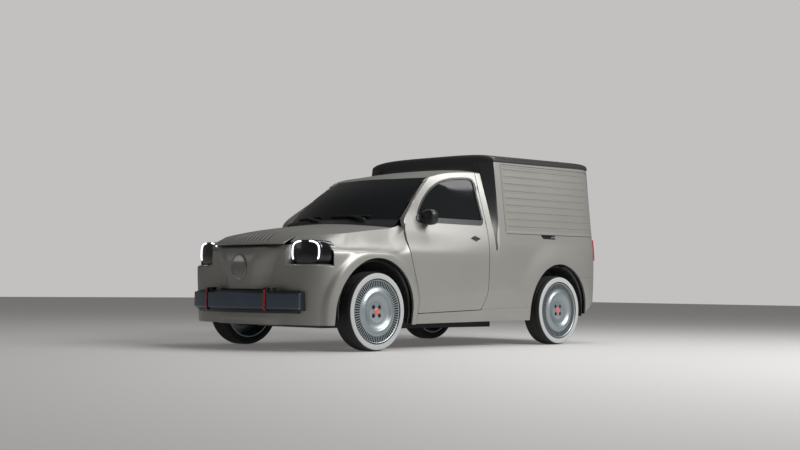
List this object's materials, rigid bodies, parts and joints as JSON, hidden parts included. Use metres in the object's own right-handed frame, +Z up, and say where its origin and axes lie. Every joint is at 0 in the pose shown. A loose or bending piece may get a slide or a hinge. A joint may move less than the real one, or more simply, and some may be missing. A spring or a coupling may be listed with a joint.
{
  "type": "panel van",
  "caption": "Small electric panel van with a short bonneted cab, a tall box body with side hatches, opening doors and bonnet, steered front wheels and free-turning wheels.",
  "frame": {"origin": "on the floor, under the middle of the overall length and width", "axes": "+Y to the rear, so the front faces -Y; +X to the van's left side; +Z up"},
  "size_m": [1.779, 3.9399, 1.7727],
  "materials": {
    "body_paint": "satin warm grey paint",
    "roof_paint": "satin charcoal paint",
    "black_plastic": "grained black moulding",
    "glass": "dark tinted glass",
    "lamp_black": "gloss black lamp body",
    "red_lens": "clear red lens",
    "satin_steel": "satin steel",
    "wheel_metal": "silver-blue wheel paint",
    "tyre_rubber": "black tyre rubber",
    "underbody": "matt black underbody coating",
    "casting": "bare grey casting",
    "seat_cloth": "dark woven cloth",
    "cabin_trim": "dark cabin moulding"
  },
  "bodies": {
    "body": {"bumper_bar": "satin_steel", "bumper_carrier": "black_plastic", "cab_frame": "body_paint", "cowl": "black_plastic", "dashboard": "cabin_trim", "drive_unit": "casting", "fender_left": "body_paint", "fender_right": "body_paint", "floor": "underbody", "front_panel": "body_paint", "front_subframe": "casting", "headlamp_left": "lamp_black", "headlamp_right": "lamp_black", "rear_axle": "casting", "rear_bumper": "body_paint", "rear_header": "body_paint", "roof": "roof_paint", "seat_left": "seat_cloth", "seat_right": "seat_cloth", "side_left": "body_paint", "side_right": "body_paint", "sill_left": "body_paint", "sill_right": "body_paint", "tail_lamp_left": "red_lens", "tail_lamp_right": "red_lens", "windscreen": "glass"},
    "bonnet": {"bonnet": "body_paint"},
    "door_left": {"door_left": "body_paint", "door_glass_left": "glass", "mirror_left": "black_plastic"},
    "door_right": {"door_right": "body_paint", "door_glass_right": "glass", "mirror_right": "black_plastic"},
    "hatch_left": {"hatch_left": "body_paint"},
    "hatch_right": {"hatch_right": "body_paint"},
    "rear_door_left": {"rear_door_left": "body_paint"},
    "rear_door_right": {"rear_door_right": "body_paint"},
    "knuckle_left": {"knuckle_left": "casting"},
    "knuckle_right": {"knuckle_right": "casting"},
    "wheel_front_left": {"rim_front_left": "wheel_metal", "tyre_front_left": "tyre_rubber"},
    "wheel_front_right": {"rim_front_right": "wheel_metal", "tyre_front_right": "tyre_rubber"},
    "wheel_rear_left": {"rim_rear_left": "wheel_metal", "tyre_rear_left": "tyre_rubber"},
    "wheel_rear_right": {"rim_rear_right": "wheel_metal", "tyre_rear_right": "tyre_rubber"},
    "steering_wheel": {"steering_wheel": "cabin_trim"}
  },
  "joints": [
    {"name": "bonnet_hinge", "type": "hinge", "parent": "body", "child": "bonnet", "pos_m": [0, -0.78906, 1.05326], "axis": [-1, 0, 0], "range_deg": [0, 50]},
    {"name": "door_left_hinge", "type": "hinge", "parent": "body", "child": "door_left", "pos_m": [0.86638, -0.76682, 0.78], "axis": [0, 0, -1], "range_deg": [0, 65]},
    {"name": "door_right_hinge", "type": "hinge", "parent": "body", "child": "door_right", "pos_m": [-0.86638, -0.76682, 0.78], "axis": [0, 0, 1], "range_deg": [0, 65]},
    {"name": "hatch_left_hinge", "type": "hinge", "parent": "body", "child": "hatch_left", "pos_m": [0.76765, 0.5, 1.641], "axis": [0, -0.9999, -0.012], "range_deg": [0, 80]},
    {"name": "hatch_right_hinge", "type": "hinge", "parent": "body", "child": "hatch_right", "pos_m": [-0.76765, 0.5, 1.641], "axis": [0, 0.9999, 0.012], "range_deg": [0, 80]},
    {"name": "rear_door_left_hinge", "type": "hinge", "parent": "body", "child": "rear_door_left", "pos_m": [0.72209, 1.9521, 0.72], "axis": [0, 0, -1], "range_deg": [0, 110]},
    {"name": "rear_door_right_hinge", "type": "hinge", "parent": "body", "child": "rear_door_right", "pos_m": [-0.72209, 1.9521, 0.72], "axis": [0, 0, 1], "range_deg": [0, 110]},
    {"name": "steer_left", "type": "hinge", "parent": "body", "child": "knuckle_left", "pos_m": [0.7, -1.17, 0.32], "axis": [0, 0, 1], "range_deg": [-35, 35]},
    {"name": "steer_right", "type": "hinge", "parent": "body", "child": "knuckle_right", "pos_m": [-0.7, -1.17, 0.32], "axis": [0, 0, 1], "range_deg": [-35, 35]},
    {"name": "spin_front_left", "type": "hinge", "parent": "knuckle_left", "child": "wheel_front_left", "pos_m": [0.785, -1.17, 0.32], "axis": [1, 0, 0], "continuous": true},
    {"name": "spin_front_right", "type": "hinge", "parent": "knuckle_right", "child": "wheel_front_right", "pos_m": [-0.785, -1.17, 0.32], "axis": [1, 0, 0], "continuous": true},
    {"name": "spin_rear_left", "type": "hinge", "parent": "body", "child": "wheel_rear_left", "pos_m": [0.785, 1.264, 0.32], "axis": [1, 0, 0], "continuous": true},
    {"name": "spin_rear_right", "type": "hinge", "parent": "body", "child": "wheel_rear_right", "pos_m": [-0.785, 1.264, 0.32], "axis": [1, 0, 0], "continuous": true},
    {"name": "steering_wheel_turn", "type": "hinge", "parent": "body", "child": "steering_wheel", "pos_m": [0.36, -0.33, 0.93], "axis": [0, 0.8829, 0.4695], "range_deg": [-490, 490]}
  ],
  "couplings": [
    {"joint": "steer_right", "follows": "steer_left", "ratio": 1},
    {"joint": "steering_wheel_turn", "follows": "steer_left", "ratio": 14}
  ]
}
